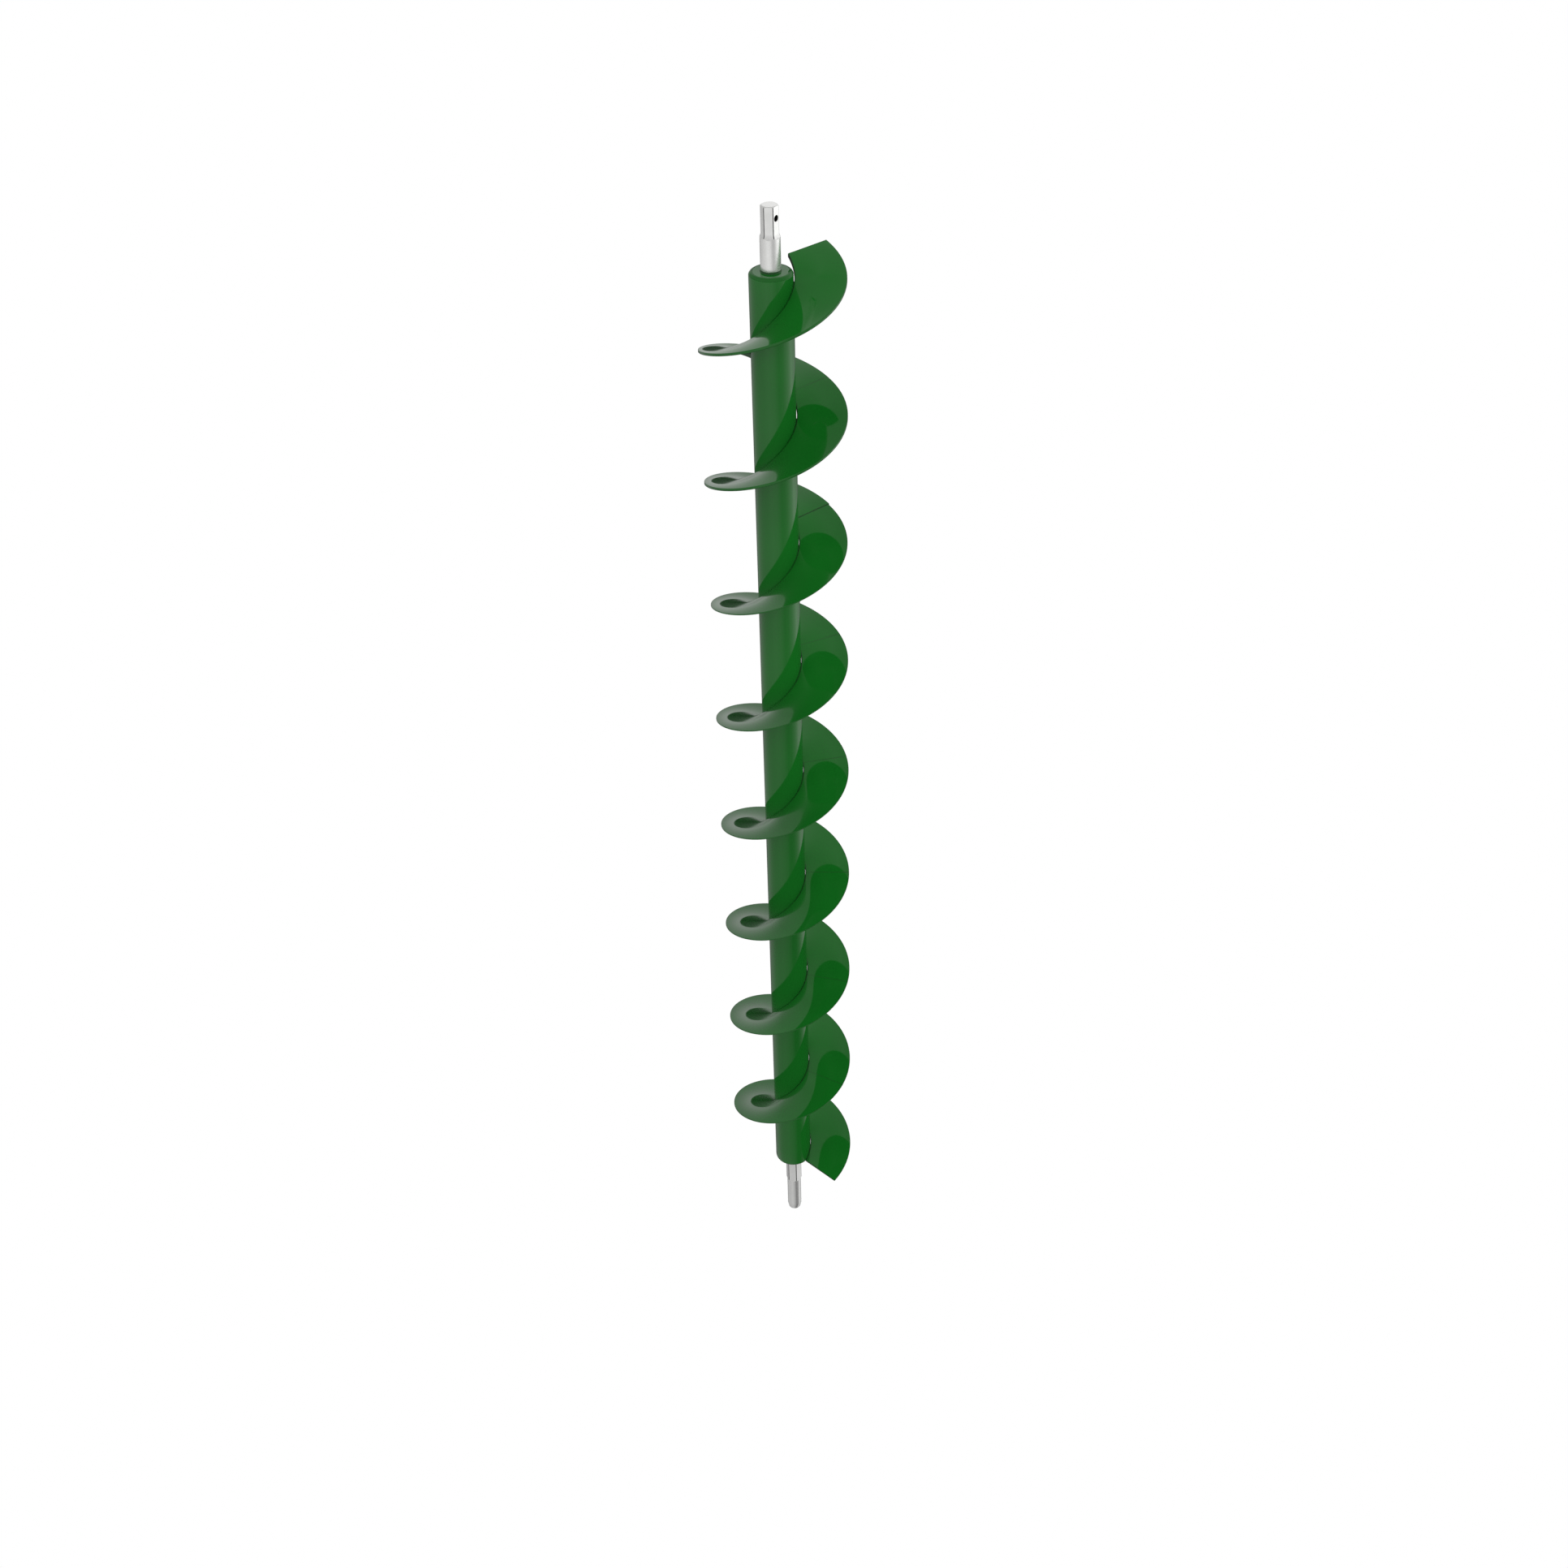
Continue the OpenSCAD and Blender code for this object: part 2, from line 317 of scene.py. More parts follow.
steelLook = {
    "bright": (0.91, 0.91, 0.895),
    "grey": (0.85, 0.85, 0.835),
    "arris": (0.10, 0.10, 0.098),     # painted shade: dark lines along the hexagon's corners, standing for their dark reflection
    "hole": (0.03, 0.027, 0.024),     # painted shade: the drilled hole near black inside
    "metallic": 0.9,
    "roughness": 0.20,
    "turnStep": 0.4 * mm,             # feed of the lathe tool
    "millStep": 1.6 * mm,             # feed of the milling cutter
    "grooveDepth": 0.01 * mm,
}

rustLook = {
    "grey": (0.30, 0.29, 0.28),
    "brown": (0.17, 0.12, 0.09),
    "metallic": 0.85,
    "roughness": 0.42,
}


def shaftSteel(name):
    # bright bar: rings left by the lathe, straight feed marks on the "flat" mark, thin handling haze
    material, bench = newMaterial(name)
    place = bench.place()
    haze = bench.noise(place, 60, 4)
    scratch = bench.noise(bench.stretched(place, (1, 1, 40)), 300, 3)
    rings = bench.grooves(place, steelLook["turnStep"], {"Distortion": 1.2, "Detail": 2.0})
    feed = bench.grooves(place, steelLook["millStep"], {"Distortion": 0.6})
    flat = bench.mark("flat")
    lines = rings * (1 - flat) + feed * flat * 0.6
    colour = bench.blend(haze.ramp(0.35, 0.75), steelLook["bright"], steelLook["grey"])
    # painted shade: the corner lands go dark
    colour = bench.blend(bench.mark("arris") * 0.95, colour, steelLook["arris"])
    # painted shade: the drilled hole goes near black
    colour = bench.blend(bench.mark("hole"), colour, steelLook["hole"])
    roughness = steelLook["roughness"] + haze * 0.06 + scratch * 0.05 + flat * 0.03
    bump = bench.bump(0.12, steelLook["grooveDepth"], lines + scratch * 0.4)
    bench.surface({
        "Base Color": colour, "Metallic": steelLook["metallic"], "Roughness": roughness, "Normal": bump})
    return material


def bareSteel(name):
    # sawn and welded steel inside the tube: dull, brown haze over grey
    material, bench = newMaterial(name)
    place = bench.place()
    haze = bench.noise(place, 45, 5)
    grain = bench.noise(bench.stretched(place, (1, 6, 1)), 500, 2)
    colour = bench.blend(haze.ramp(0.4, 0.7), rustLook["grey"], rustLook["brown"])
    roughness = rustLook["roughness"] + haze * 0.2
    bump = bench.bump(0.3, 0.03 * mm, grain)
    bench.surface({
        "Base Color": colour, "Metallic": rustLook["metallic"], "Roughness": roughness, "Normal": bump})
    return material


tubePaint = greenPaint("tubePaint")
flightPaint = greenPaint("flightPaint")
# welds: rougher, lumpy coat, darkened by painted shade
weldPaint = greenPaint("weldPaint", paintLook["weldLumpsAndShade"])
# foot welds: lumpy coat, pulled near black by painted shade at the shafts' feet
footPaint = greenPaint("footPaint", paintLook["weldLumpsAndShade"], paintLook["footPaintedShade"])
brightSteel = shaftSteel("brightSteel")
dullSteel = bareSteel("dullSteel")
print("materials ready")


# Tube and plugs

tube = {"edge": 0.6 * mm, "rings": 60, "count": 192}     # lip radius; points along and round


def makeTube():
    # closed pipe wall: outer face, rounded lip, bore, rounded lip; extra rings along it carry the paint
    edge = tube["edge"]
    low, high, outer, inner = tubeLow.z, tubeHigh.z, tubeRadius, boreRadius
    outerFace = [(outer, z) for z in np.linspace(low + edge, high - edge, tube["rings"])]
    innerFace = [(inner, z) for z in np.linspace(high, low, 12)]
    outline = [*outerFace[:-1], *arc((outer - edge, high - edge), edge, 0, 90, 5), *innerFace,
               *arc((outer - edge, low + edge), edge, -90, 0, 5)[:-1]]
    return turned("centre_tube", outline, tube["count"])


plug = {
    "chamfer": 0.5 * mm, "seatRadius": 10.0 * mm, "count": 144,
    "hexDistance": 9.525 * mm, "hexAngle": -42.0,      # flats off the axis, and one flat's direction
}


def makeDrivePlug():
    # disc with a chamfered rim and a round bore
    low, high, cut = drivePlugLow.z, drivePlugHigh.z, plug["chamfer"]
    rim, seat = boreRadius, plug["seatRadius"]
    outline = [(rim, low), (rim, high - cut), (rim - cut, high), (seat, high), (seat, low)]
    return turned("plug_drive_end", outline, plug["count"])


def makeIdlerPlug():
    # the same with a hexagonal hole, whose radius is distance / cos of the angle off the nearest flat
    low, high, cut = idlerPlugLow.z, idlerPlugHigh.z, plug["chamfer"]
    offset = np.tile(np.linspace(-30, 30, 12, endpoint=False), 6)
    angle = np.radians(offset + np.repeat(60 * np.arange(6), 12) + plug["hexAngle"])
    hole = plug["hexDistance"] / np.cos(np.radians(offset))
    whole = np.full_like(hole, boreRadius)
    radius = np.stack([whole - cut, whole, whole, hole, hole])
    height = np.array([low, low + cut, high, high, low])[:, None]
    return soften(skin("plug_idler_end", polar(radius, angle[None, :], height), "loop"))


adopt(makeTube(), ["main_tube"], tubePaint)
adopt(makeDrivePlug(), ["drive_end_plug"], tubePaint)
adopt(makeIdlerPlug(), ["idler_end_plug"], tubePaint)
print("tube and plugs ready")


# Stub shafts

hexLook = {"corner": 26.5, "flatPoints": 21, "landPoints": 7}    # corner: where its bevel begins, in degrees


def hexBar(name, rows, angle):
    # Round bar with six flats. rows: (height, radius, distance of the flats from the axis). A point at
    # an angle t off the middle of a flat lies at the smaller of radius and distance / cos t. Columns
    # gather so that one always stands where flat meets round, at t = arccos(distance / radius);
    # between two flats a narrow land bevels the corner.
    corner, lands = hexLook["corner"], hexLook["landPoints"]
    height, radius, distance = (column[:, None] for column in np.array(rows).T)
    edge = np.degrees(np.arccos(np.clip(distance / radius, -1, 1))).clip(1.0, corner)
    core = np.linspace(-1, 1, hexLook["flatPoints"])[None, :] * edge
    land = edge + (30 - edge) * np.arange(1, lands + 1)[None, :] / lands
    offset = np.concatenate([-land[:, ::-1], core, land[:, :-1]], 1)
    reach = np.minimum(radius, distance / np.cos(np.radians(np.abs(offset).clip(0, corner))))
    milled, inner = reach < radius - 1e-6, np.abs(offset) <= edge + 0.01
    # the corner lands carry the painted shade of the corners
    flat, arris = (milled & inner).astype(float), (milled & ~inner).astype(float)
    turn = np.repeat(60 * np.arange(6), offset.shape[1])[None, :] + angle
    grid = polar(np.tile(reach, 6), np.radians(np.tile(offset, 6) + turn), height)
    return skin(name, grid, "fan", {"flat": np.tile(flat, 6), "arris": np.tile(arris, 6)})


driveBar = {
    "radius": 11.1 * mm, "flatDistance": 8.75 * mm, "hexAngle": -37.4,
    "shoulder": 1416.3 * mm, "roundTop": 1451.3 * mm,      # heights where the round stretch begins and ends
    "cutter": 9 * mm,                                      # radius of the run-outs
    "endRadius": 8 * mm, "endSlope": 30.0,                 # chamfer at the tip
    "holeRadius": 3.2 * mm, "holeInset": 13.5 * mm, "holeChamfer": 0.5 * mm,
    "nick": 0.3 * mm,                                      # bevel of the shoulder
}


def driveBarRows():
    r, distance, cutter = driveBar["radius"], driveBar["flatDistance"], driveBar["cutter"]
    seat, low, high = plug["seatRadius"], driveLow.z, driveHigh.z
    shoulder, roundTop, nick = driveBar["shoulder"], driveBar["roundTop"], driveBar["nick"]
    flatBottom = roundTop + math.sqrt(cutter ** 2 - (cutter - (r - distance)) ** 2)
    far = 2 * r     # flats so far out leave the bar round
    rows = [(low, seat - 0.8 * mm, far), (low + 0.8 * mm, seat, far), (shoulder - 0.4 * mm, seat, far),
            (shoulder, seat, far), (shoulder, r - nick, far), (shoulder + nick, r, far)]
    rows += [(z, r, far) for z in np.linspace(shoulder + nick, roundTop, 12)[1:]]
    # run-out left by the cutter: distance + cutter - sqrt(cutter^2 - (height below the full flat)^2)
    shares = np.array([0.97, 0.92, 0.85, 0.76, 0.66, 0.56, 0.46, 0.36, 0.26, 0.16, 0.08, 0])
    rows += [(flatBottom - d, r, distance + cutter - math.sqrt(cutter ** 2 - d ** 2))
             for d in (flatBottom - roundTop) * shares]
    slope = math.tan(math.radians(driveBar["endSlope"]))
    chamferBottom = high - (r - driveBar["endRadius"]) * slope
    rows += [(z, r, distance) for z in np.linspace(flatBottom, chamferBottom, 12)[1:]]
    cone = np.array([10.1, 9.8, 9.5, 9.25, 9.0, 8.85, 8.76, 8.4, 8.0]) * mm
    rows += [(high - (radius - driveBar["endRadius"]) * slope, radius, distance) for radius in cone]
    return rows


def drillCutter():
    # double cone and cylinder along the cross hole: the hole with its two small countersinks
    hole, cut, far = driveBar["holeRadius"], driveBar["holeChamfer"], driveBar["flatDistance"]
    out = 3 * mm    # how far it stands out of the bar
    wide = hole + cut + out
    outline = [(wide, -far - out), (hole, cut - far), (hole, far - cut), (wide, far + out)]
    cutter = turned("drill", outline, 48, "fan")
    flat = math.radians(driveBar["hexAngle"])
    turn = Vector((math.cos(flat), math.sin(flat), 0)).to_track_quat("Z", "Y").to_matrix().to_4x4()
    cutter.data.transform(Matrix.Translation((0, 0, driveHigh.z - driveBar["holeInset"])) @ turn)
    return cutter


def makeDriveShaft():
    piece, cutter = hexBar("shaft_drive_end", driveBarRows(), driveBar["hexAngle"]), drillCutter()
    drill = piece.modifiers.new("drill", "BOOLEAN")
    drill.operation, drill.solver, drill.object = "DIFFERENCE", "EXACT", cutter
    bpy.context.view_layer.update()
    drilled = bpy.data.meshes.new_from_object(piece.evaluated_get(bpy.context.evaluated_depsgraph_get()))
    piece.modifiers.clear()
    plain, piece.data = piece.data, drilled
    bpy.data.meshes.remove(plain)
    bpy.data.meshes.remove(cutter.data)
    drilled.name = piece.name
    # the "hole" mark, for painted shade: points inside the drilled wall, away from its rims
    points = np.empty(len(drilled.vertices) * 3, np.float32)
    drilled.vertices.foreach_get("co", points)
    points = points.reshape(-1, 3)
    flat = math.radians(driveBar["hexAngle"])
    along = points[:, 0] * math.cos(flat) + points[:, 1] * math.sin(flat)
    across = points[:, 1] * math.cos(flat) - points[:, 0] * math.sin(flat)
    off = np.hypot(across, points[:, 2] - driveHigh.z + driveBar["holeInset"])
    deep = np.abs(along) < driveBar["flatDistance"] - 0.3 * mm
    inside = deep & (off < driveBar["holeRadius"] + 0.05 * mm)
    drilled.attributes.new("hole", "FLOAT", "POINT").data.foreach_set("value", inside.astype(np.float32))
    return soften(piece, 20)


idlerBar = {
    "journal": 9.45 * mm, "journalTop": 56 * mm,
    "nose": 7 * mm, "noseDepth": 1.4 * mm,
    "shoulder": 9.5 * mm, "corner": 11.1 * mm,     # length of the swell, radius over the corners
}


def makeIdlerShaft():
    # hexagonal bar turned down: the shoulder swells along a quarter ellipse from journal to corners
    r, bottom, top, distance = idlerBar["journal"], idlerLow.z, idlerHigh.z, plug["hexDistance"]
    tip = r - idlerBar["noseDepth"]
    rows = [(bottom, tip - 0.5 * mm, distance), (bottom + 0.3 * mm, tip, distance),
            (bottom + idlerBar["nose"] - 0.3 * mm, r - 0.05 * mm, distance),
            (bottom + idlerBar["nose"] + 0.3 * mm, r, distance)]
    rows += [(z, r, distance) for z in np.linspace(bottom + idlerBar["nose"], idlerBar["journalTop"], 12)[1:]]
    quarter = np.radians([4, 8, 12, 17, 23, 30, 38, 47, 57, 68, 78, 90])
    rows += [(idlerBar["journalTop"] + idlerBar["shoulder"] * (1 - math.cos(a)),
              r + (idlerBar["corner"] - r) * math.sin(a), distance) for a in quarter]
    rows += [(z, idlerBar["corner"], distance) for z in np.linspace(rows[-1][0], top, 14)[1:]]
    return soften(hexBar("shaft_idler_end", rows, plug["hexAngle"]), 20)


adopt(makeDriveShaft(), ["drive_shaft"], brightSteel)
adopt(makeIdlerShaft(), ["idler_shaft"], brightSteel)
print("shafts ready")


# Ring welds at the tube's ends

ring = {
    "shaftHeight": 2.0 * mm, "shaftLeg": 1.0 * mm,
    "roundTop": 0.77 * mm, "hexTop": 0.9 * mm,       # where the fillet ends, off the shaft's seat
    "ripple": 0.06 * mm, "waves": 46, "bulge": 0.5 * mm,
}


def bevelRing(name, edge, way):
    # bevel weld from the tube's edge to the plug's face; way is 1 at the drive end and -1 at the idler end
    out = (drivePlugHigh.z - tubeHigh.z) if way > 0 else (tubeLow.z - idlerPlugLow.z)
    side, lip = tubeRadius - 0.2 * mm, boreRadius + 0.3 * mm
    middle = ((tubeRadius + boreRadius) / 2 + ring["bulge"], out / 2 + ring["bulge"])
    outline = [(boreRadius, 0), (tubeRadius - tube["edge"], 0), (side, 0.15 * mm),
               ((side + middle[0]) / 2 + 0.1 * mm, middle[1] * 0.55), middle,
               ((lip + middle[0]) / 2 + 0.1 * mm, (out + middle[1]) / 2 + 0.15 * mm),
               (lip, out), (boreRadius, out)]
    ripple = (ring["waves"] * 2, ring["ripple"], [0, 0, 0, 0.7, 1, 0.7, 0, 0])
    return turned(name, [(r, edge + way * z) for r, z in outline], ring["waves"] * 8, "loop", ripple)


def footRing(name, face, way, inner, top):
    # fillet weld from a plug's face up the shaft
    high, leg = ring["shaftHeight"], ring["shaftLeg"]
    outline = [(inner, 0), (top + leg, 0), (top + leg * 0.93, high * 0.1), (top + leg * 0.72, high * 0.3),
               (top + leg * 0.42, high * 0.55), (top + leg * 0.16, high * 0.8), (top, high), (inner, high)]
    ripple = (ring["waves"], ring["ripple"] * 2, [0, 0, 0.5, 1, 1, 0.6, 0, 0])
    return turned(name, [(r, face + way * z) for r, z in outline], ring["waves"] * 6, "loop", ripple)


def makeFootRings():
    seat, hexSeat = plug["seatRadius"], plug["hexDistance"]
    drive = footRing("weld_shaft_drive", drivePlugHigh.z, 1, seat, seat + ring["roundTop"])
    idler = footRing("weld_shaft_idler", idlerPlugLow.z, -1, hexSeat - 1 * mm, hexSeat + ring["hexTop"])
    adopt(drive, ["drive_shaft_weld"], footPaint)
    adopt(idler, ["idler_shaft_weld"], footPaint)


adopt(bevelRing("weld_plug_drive", tubeHigh.z, 1), ["drive_plug_weld"], weldPaint)
adopt(bevelRing("weld_plug_idler", tubeLow.z, -1), ["idler_plug_weld"], weldPaint)
makeFootRings()
# the discs and welds inside the tube keep their CAD shapes
for node in ("drive_inner_disc", "idler_inner_disc", "drive_disc_weld", "idler_disc_weld"):
    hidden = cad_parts[node]
    hidden.data.materials.clear()
    hidden.data.materials.append(dullSteel)
print("ring welds ready")


# Flights

flight = {
    "pitch": 160 * mm, "startAngle": -45.6, "step": 1.5,
    "rimRound": 0.45,                                  # share of half the plate
    "rimStrip": 1.6 * mm, "rootStrip": 1.6 * mm,       # width of the marks along both edges
    "seam": 0.5, "seamDark": 0.6,                      # degrees, and strength of the mark there
    "main": {"count": 6, "sweep": 374.5, "gap": 0.2 * mm, "radius": 80 * mm, "plate": 1.5 * mm},
    "drive": {"count": 2, "sweep": 360.0, "gap": 0.6 * mm, "radius": 81 * mm, "plate": 3.2 * mm},
}
rise = flight["pitch"] / (2 * math.pi)
driveStart = flight["startAngle"] + flight["main"]["count"] * flight["main"]["sweep"]


def rampHeight(angle):
    # height of the middle of the plate; angle in radians
    return tubeLow.z + rise * (angle - math.radians(flight["startAngle"]))


def axial(radius, thickness):
    # thickness along the axis of a plate that lies at the slope of its radius
    return thickness * np.sqrt(1 + (rise / radius) ** 2)


def plateSection(inner, outer, plate):
    # outline of the plate's radial section: radius, and height off the middle.
    # A helicoid is straight from root to rim, so its faces need no rows between the two strips
    # along their edges, which carry the marks.
    curve = plate / 2 * flight["rimRound"]
    corner = np.radians([0, 30, 60, 90])
    rim = outer - curve + curve * np.cos(corner)
    root = inner + curve - curve * np.cos(corner)
    swell = plate / 2 - curve + curve * np.sin(corner)
    strips = [outer - flight["rimStrip"], inner + flight["rootStrip"]]
    radius = np.concatenate([rim, strips, root[::-1]])
    height = np.concatenate([swell, [plate / 2, plate / 2], swell[::-1]])
    return np.concatenate([radius, radius[::-1]]), np.concatenate([height, -height[::-1]])


def faceNormals(piece, radius, height, angle, plate):
    # The face takes the helicoid's own normal, (rise sin a, -rise cos a, r) / hypot(r, rise), at its
    # root and its rim and a straight blend of the two between them, so that neither the rounded
    # edges nor the strips pull on it. Zero leaves the rounding and the sawn ends as they are.
    side = np.where(np.abs(np.abs(height) - plate / 2) < 1e-7, np.sign(height), 0)
    ends = np.array([radius.min(), radius.max()])
    share = (radius - ends[0]) / (ends[1] - ends[0])
    level = np.interp(share, [0, 1], rise / np.hypot(ends, rise))
    upward = np.interp(share, [0, 1], ends / np.hypot(ends, rise))
    way = np.stack(np.broadcast_arrays(
        level * np.sin(angle)[:, None], -level * np.cos(angle)[:, None], upward[None, :]), -1)
    way = way / np.hypot(level, upward)[None, :, None] * side[None, :, None]
    way = np.concatenate([way.reshape(-1, 3), np.zeros((2, 3))])
    mesh = piece.data
    corners = np.empty(len(mesh.loops), np.int32)
    mesh.loops.foreach_get("vertex_index", corners)
    normals = way[corners]
    normals[-6 * len(radius):] = 0
    mesh.normals_split_custom_set(normals)


def makeFlight(name, start, look):
    # Helicoid plate: section points (r, h) at angle a go to height ramp(a) + h / cos(slope at r),
    # where tan(slope) = pitch / (2 pi r), so that the plate keeps its thickness.
    inner, outer = tubeRadius + look["gap"], look["radius"]
    radius, height = plateSection(inner, outer, look["plate"])
    stop = start + look["sweep"]
    angle = np.linspace(start, stop, int(look["sweep"] / flight["step"]) + 1)
    seams = [start + flight["seam"], stop - flight["seam"]]
    angle = np.radians(np.insert(angle, [1, len(angle) - 1], seams))
    grid = polar(radius[None, :], angle[:, None], rampHeight(angle)[:, None] + axial(radius, height)[None, :])
    rim = (1 - (outer - radius) / flight["rimStrip"]).clip(0, 1)
    # root: painted shade along the crevice where the flight meets the tube
    root = (1 - (radius - inner) / flight["rootStrip"]).clip(0, 1)
    seam = np.zeros((len(angle), 1))
    seam[[0, -1]] = flight["seamDark"]
    marks = {"rim": np.broadcast_to(rim, grid.shape[:2]), "root": np.maximum(root[None, :], seam)}
    piece = soften(skin(name, grid, "fan", marks))
    faceNormals(piece, radius, height, angle, look["plate"])
    return piece


def makeFlights():
    start = flight["startAngle"]
    for kind in ("main", "drive"):
        look = flight[kind]
        for number in range(1, look["count"] + 1):
            adopt(makeFlight(f"flight_{kind}_{number}", start, look),
                  [f"{kind}_flight_{number}"], flightPaint)
            start += look["sweep"]


makeFlights()
print("flights ready")


# Welds of the flights

bead = {
    "perTurn": 3, "lead": 22.0, "sweep": 32.0, "leg": 3 * mm,     # stitches; angles in degrees
    "scale": 2.4 * mm, "ripple": 0.16 * mm,                       # from one ripple to the next, and depth
    "buttWidth": 4 * mm, "buttCrown": 0.8 * mm,
    "sink": 0.1 * mm,                                             # how far a toe reaches into the tube
}


def stitch(angle, look):
    # Fillet under the plate between tube and flight, from a round start to a round end.
    # Its leg swells and falls with the scales; the section is a shallow bulge between its two toes.
    inner = tubeRadius + look["gap"]
    half = axial(inner, look["plate"]) / 2
    along = np.linspace(-1, 1, 97)
    grow = np.sqrt(1 - along ** 4 * 0.9)
    length = math.radians(bead["sweep"]) * math.hypot(inner, rise)
    scales = rippleOf(along * length / bead["scale"] * math.pi)
    leg = bead["leg"] * 0.94 * grow + bead["ripple"] * scales * grow
    share = np.linspace(0, 1, 6)
    bulge = 0.16 * np.sin(share * math.pi)
    # toe on the tube, across the bead to the toe under the plate, back inside the gap
    out = np.outer(leg, share + bulge) + np.where(share == 0, 0, look["gap"])[None, :]
    down = np.outer(leg, 1 - share + bulge)
    ends = np.ones(len(along))[:, None]
    toe = tubeRadius - bead["sink"]
    radius = np.concatenate([toe + out, ends * inner, ends * inner, ends * toe], 1)
    height = np.concatenate([-half - down, ends * -half, ends * half * 0.4, ends * half * 0.4], 1)
    turn = math.radians(angle) + along * math.radians(bead["sweep"]) / 2
    return polar(radius, turn[:, None], rampHeight(turn)[:, None] + height)


def buttBead(angle, look):
    # bead across the lower face on a radial seam, with scales from the root to the rim
    inner, outer = tubeRadius + look["gap"], look["radius"]
    radius = np.linspace(inner, outer, 120)
    ends = np.minimum(1, np.minimum(radius - inner, outer - radius) / (1.5 * mm) + 0.35)
    scales = rippleOf((radius - inner) / bead["scale"] * 2 * math.pi)
    swell = ends * (0.86 + 0.14 * scales)
    across = np.array([-1, -0.75, -0.4, 0, 0.4, 0.75, 1, 0.75, -0.75])
    down = np.array([0, 0.5, 0.88, 1, 0.88, 0.5, 0, -0.1, -0.1])
    arcLength = np.hypot(radius, rise)[:, None]
    bow = 0.35 * mm * (1 - across ** 2)[None, :] * scales[:, None]
    turn = math.radians(angle) + across[None, :] * bead["buttWidth"] / 2 / arcLength * ends[:, None]
    crown = down[None, :] * bead["buttCrown"] * swell[:, None]
    height = -axial(radius, flight["main"]["plate"])[:, None] / 2 - crown
    return polar((radius[:, None] + bow).clip(inner, outer), turn, rampHeight(turn) + height)


def joinBeads(name, grids):
    # several closed beads with equal grids in one mesh, each closed with fans by way of its own skin
    parts = [skin(name, grid, "fan") for grid in grids]
    whole = parts[0]
    with bpy.context.temp_override(active_object=whole, selected_editable_objects=parts):
        bpy.ops.object.join()
    whole.data.name = name
    return soften(whole, 50)


def makeRootWelds():
    turns = (tubeHigh.z - tubeLow.z) / flight["pitch"]
    last = 360 * turns - bead["lead"] - bead["sweep"] / 2
    numbers = np.arange(int(last * bead["perTurn"] / 360) + 1)
    places = flight["startAngle"] + bead["lead"] + 360 / bead["perTurn"] * numbers
    return joinBeads("weld_flight_root", [
        stitch(a, flight["drive" if a > driveStart else "main"]) for a in places])


def makeButtWelds():
    main, drive = flight["main"], flight["drive"]
    seams = [(flight["startAngle"] + i * main["sweep"], main) for i in range(1, main["count"] + 1)]
    seams += [(driveStart + i * drive["sweep"], drive) for i in range(1, drive["count"])]
    return joinBeads("weld_flight_butt", [buttBead(a, look) for a, look in seams])


adopt(makeRootWelds(), ["flight_root_welds"], weldPaint)
adopt(makeButtWelds(), ["flight_butt_welds"], weldPaint)
print("flight welds ready")


# Studio

studio = {
    "floorSize": 40.0,
    "roof": 1.25, "ground": 0.35, "back": 0.62,     # brightness that lights the painted faces
    # soft lamps: place, size and power
    "front_light": ((1.2, -3.2, 2.6), 2.6, 50),
    "right_light": ((3.0, -0.6, 1.4), 2.2, 30),
    "left_light": ((-3.0, -0.8, 1.2), 2.2, 22),
}

# What shiny faces see: brightness against direction, in degrees from the front (-Y) towards +X,
# for six looks from straight up to steeply down. The back is dark well below the horizon.
reflected = {
    "up": [(-180, 0.36), (-130, 0.43), (-90, 0.45), (-30, 0.50), (50, 0.41), (125, 0.54), (180, 0.36)],
    "raised": [(-180, 1.0), (-166, 0.70), (-150, 0.50), (-110, 0.46), (-85, 0.59), (-30, 0.54),
               (10, 0.40), (50, 0.27), (90, 0.53), (110, 0.68), (150, 0.66), (166, 0.80), (180, 1.0)],
    "level": [(-180, 0.68), (-164, 0.66), (-150, 0.42), (-125, 0.46), (-85, 0.56), (-30, 0.60),
              (0, 0.55), (40, 0.40), (75, 0.80), (110, 1.0), (150, 0.92), (170, 0.66), (180, 0.68)],
    "low": [(-180, 0.66), (-155, 0.48), (-134, 0.50), (-87, 0.57), (-54, 0.66),
            (-26, 0.78), (2, 0.70), (28, 0.40), (50, 0.48), (75, 0.88),
            (105, 1.15), (122, 0.80), (140, 0.50), (160, 0.56), (180, 0.66)],
    "shallow": [(-180, 0.02), (-155, 0.25), (-134, 0.50), (-87, 0.57), (-54, 0.66),
                (-26, 0.78), (2, 0.70), (28, 0.40), (50, 0.48), (75, 0.88),
                (105, 1.30), (122, 0.80), (140, 0.44), (160, 0.15), (180, 0.02)],
    "steep": [(-180, 0.02), (-150, 0.27), (-109, 0.48), (-80, 0.42), (-30, 0.48),
              (-8, 0.40), (12, 0.29), (32, 0.08), (52, 0.08), (74, 0.26),
              (98, 0.68), (120, 0.68), (145, 0.25), (170, 0.02), (180, 0.02)],
}
# between which two sines of elevation each look takes over from the one below it
takeOver = {
    "shallow": (-0.72, -0.44), "low": (-0.268, -0.245), "level": (-0.21, -0.17),
    "raised": (0.22, 0.50), "up": (0.60, 0.85),
}


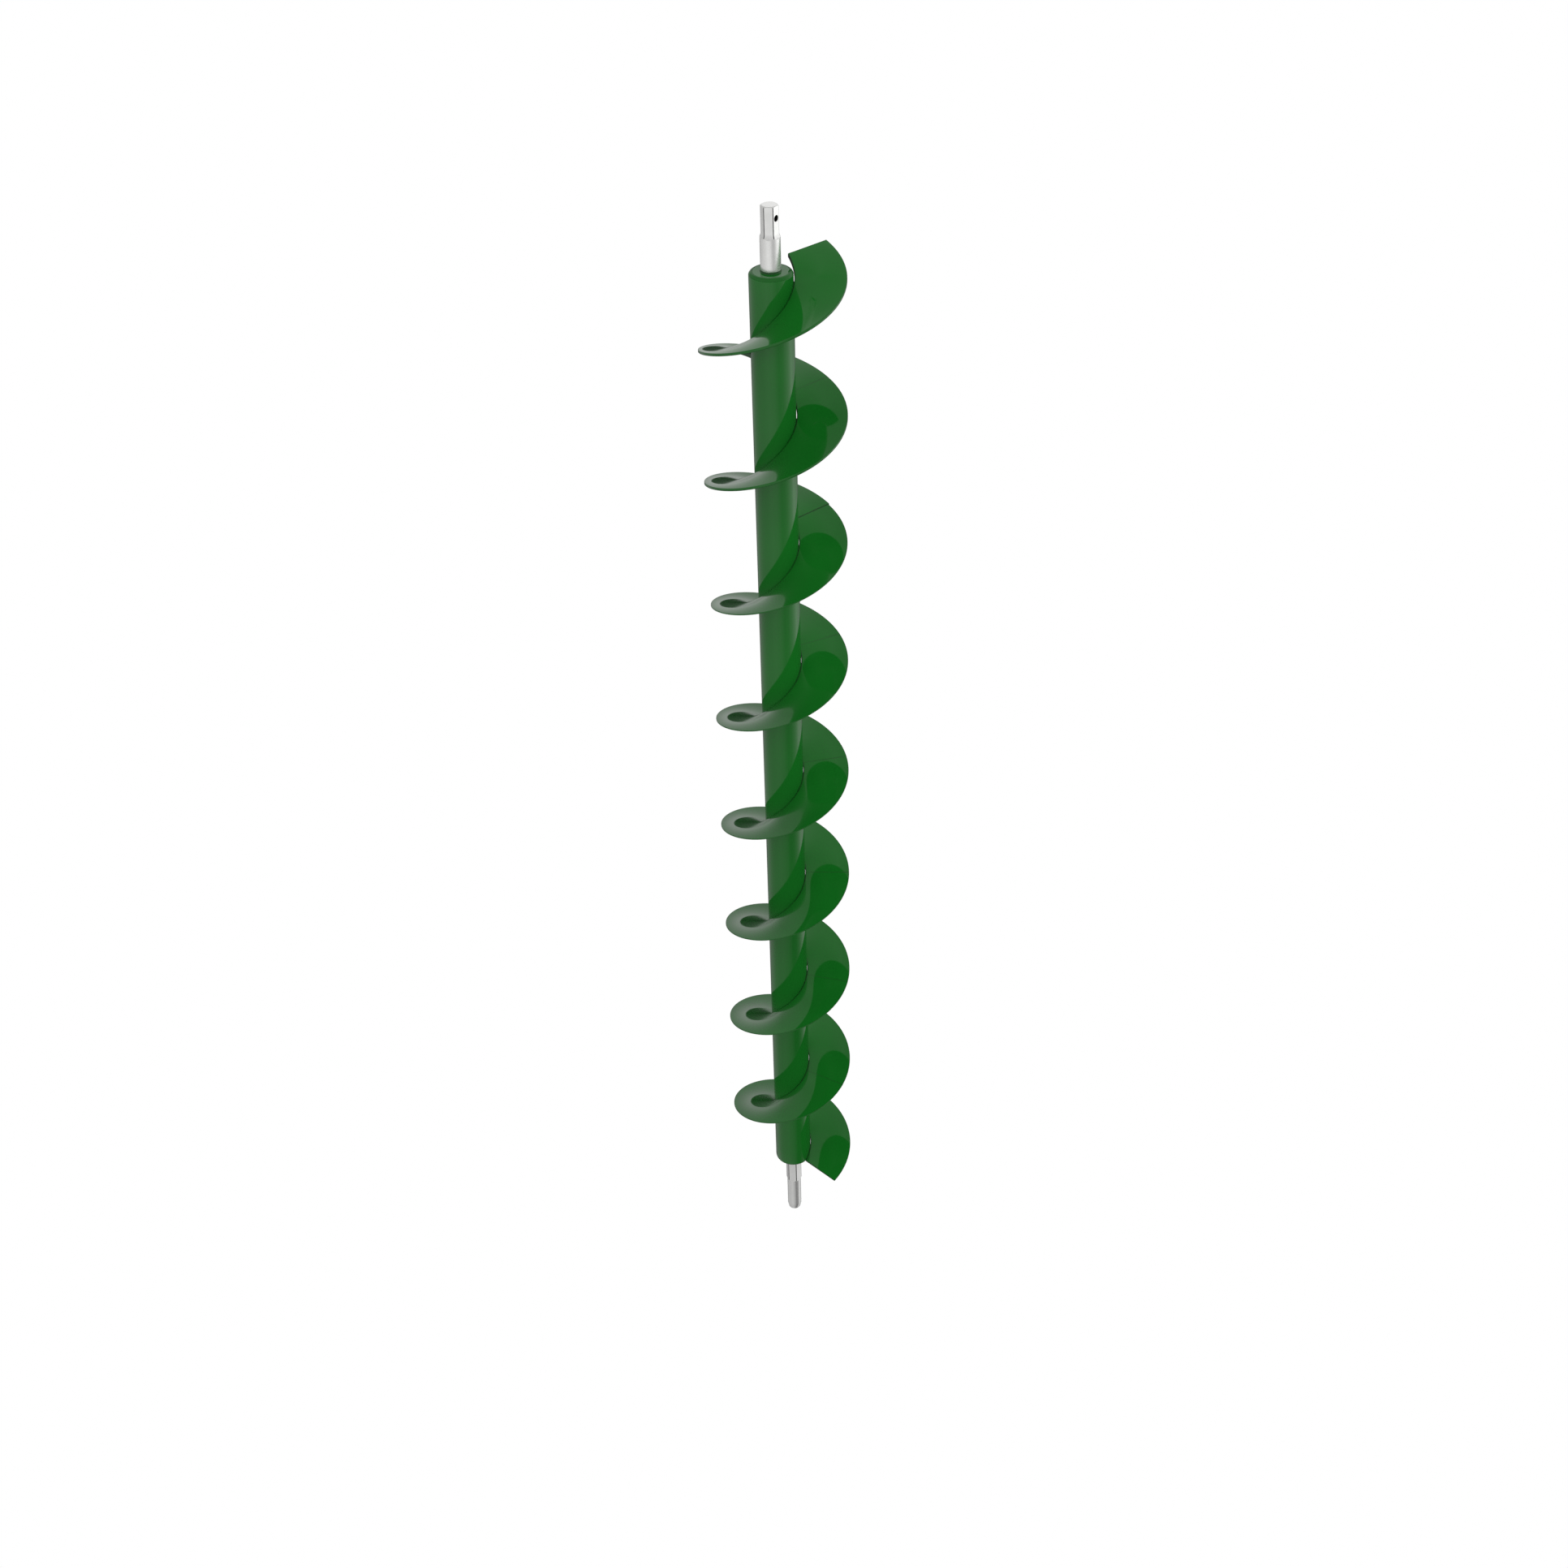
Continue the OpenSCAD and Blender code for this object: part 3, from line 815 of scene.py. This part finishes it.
def makeWorld():
    world = bpy.data.worlds.new("studio")
    bpy.context.scene.world = world
    world.use_nodes = True
    bench = Bench(world.node_tree)
    way = bench.make("ShaderNodeTexCoord").outputs["Generated"]
    parts = bench.make("ShaderNodeSeparateXYZ", None, {0: way})
    x, y, z = (bench.wire(parts, i) for i in range(3))      # z is the sine of the elevation
    around = x.maths("ARCTAN2", y * -1) / (2 * math.pi) + 0.5

    def strip(look):
        stops = [((a + 180) / 360, level) for a, level in reflected[look]]
        return bench.make("ShaderNodeValToRGB", {"stops": stops}, {0: around}).outputs[0]

    shiny = strip("steep")
    for look, (below, above) in takeOver.items():
        shiny = bench.blend(z.ramp(below, above), shiny, strip(look))
    lit = z.ramp(-0.25, 0.05) * (studio["roof"] - studio["ground"]) + studio["ground"]
    lit = lit * ((y * -1).ramp(-0.6, 0.6) * (1 - studio["back"]) + studio["back"])
    soft = bench.make("ShaderNodeCombineColor", None, {0: lit, 1: lit, 2: lit}).outputs[0]
    path = bench.make("ShaderNodeLightPath")
    colour = bench.blend(path.outputs["Is Glossy Ray"], soft, shiny)
    colour = bench.blend(path.outputs["Is Camera Ray"], colour, (1.0, 1.0, 1.0))
    glow = bench.make("ShaderNodeBackground", None, {"Color": colour, "Strength": 1.0})
    bench.make("ShaderNodeOutputWorld", None, {"Surface": glow.outputs[0]})


def makeFloor():
    half = studio["floorSize"] / 2
    corners = np.array([[-half, -half, 0], [half, -half, 0], [half, half, 0], [-half, half, 0]])
    floor = makeMesh("floor", corners, [np.array([[0, 1, 2, 3]])])
    material, bench = newMaterial("floorWhite")
    glow = bench.make("ShaderNodeEmission", None, {"Color": (1, 1, 1, 1), "Strength": 1.0})
    bench.make("ShaderNodeOutputMaterial", None, {"Surface": glow.outputs[0]})
    floor.data.materials.append(material)
    floor.visible_glossy = floor.visible_diffuse = False


def makeLight(name, place, target, size, power):
    data = bpy.data.lights.new(name, "AREA")
    data.shape, data.size, data.energy = "DISK", size, power
    lamp = bpy.data.objects.new(name, data)
    bpy.context.scene.collection.objects.link(lamp)
    turn = (Vector(target) - Vector(place)).to_track_quat("-Z", "Y").to_matrix().to_4x4()
    lamp.matrix_world = Matrix.Translation(place) @ turn
    lamp.visible_glossy = False


view = {"place": (0.0, -2.1985, 2.3297), "down": 35.797, "roll": 1.472, "lens": 50.3}    # degrees, mm


def makeCamera():
    data = bpy.data.cameras.new("camera")
    data.lens, data.sensor_width = view["lens"], 36.0
    camera = bpy.data.objects.new("camera", data)
    bpy.context.scene.collection.objects.link(camera)
    tilt = Matrix.Rotation(math.radians(90 - view["down"]), 4, "X")
    roll = Matrix.Rotation(math.radians(-view["roll"]), 4, "Z")
    camera.matrix_world = Matrix.Translation(view["place"]) @ tilt @ roll
    bpy.context.scene.camera = camera


makeWorld()
makeFloor()
for name in ("front_light", "right_light", "left_light"):
    lampPlace, lampSize, lampPower = studio[name]
    makeLight(name, lampPlace, (0, 0, cadHigh.z / 2), lampSize, lampPower)
makeCamera()
bpy.context.scene.view_settings.view_transform = "Standard"
print("studio ready")
